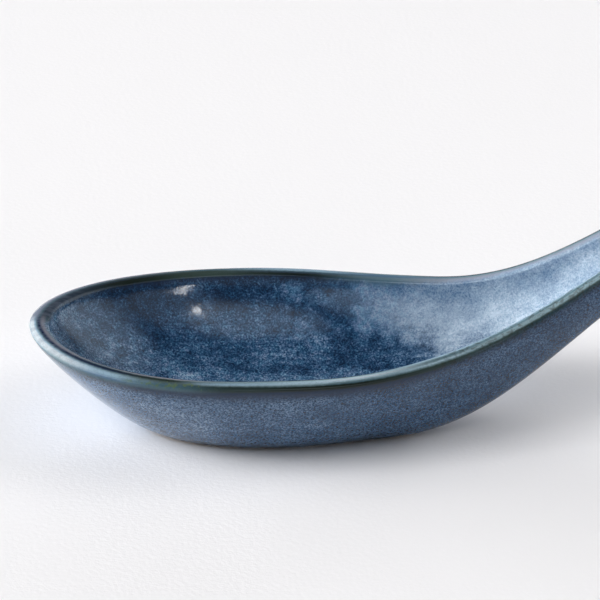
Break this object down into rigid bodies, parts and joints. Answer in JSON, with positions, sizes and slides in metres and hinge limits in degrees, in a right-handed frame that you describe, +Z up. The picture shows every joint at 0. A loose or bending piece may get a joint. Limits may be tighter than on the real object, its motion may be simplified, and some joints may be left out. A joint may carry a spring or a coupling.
{
  "type": "chinese soup spoon",
  "caption": "Flat-bottomed ceramic soup spoon with a deep oval bowl, a rolled rim and a channelled handle that rises at one end, in a dark blue glaze.",
  "frame": {"origin": "middle of the flat foot, on the table", "axes": "+Z up, +X from the bowl towards the end of the handle, +Y across the spoon"},
  "size_m": [0.14, 0.048, 0.0516],
  "materials": {
    "bare_clay": "unglazed stoneware, wiped smooth on the foot",
    "inside_glaze": "thick glossy dark blue glaze with lighter clouds",
    "rim_glaze": "thin glossy glaze that breaks to olive over the edge",
    "outside_glaze": "glossy slate blue glaze with fine lighter specks"
  },
  "bodies": {
    "root": {"clay_body": "bare_clay", "inside_glaze": "inside_glaze", "rim_glaze": "rim_glaze", "outside_glaze": "outside_glaze"}
  },
  "joints": []
}
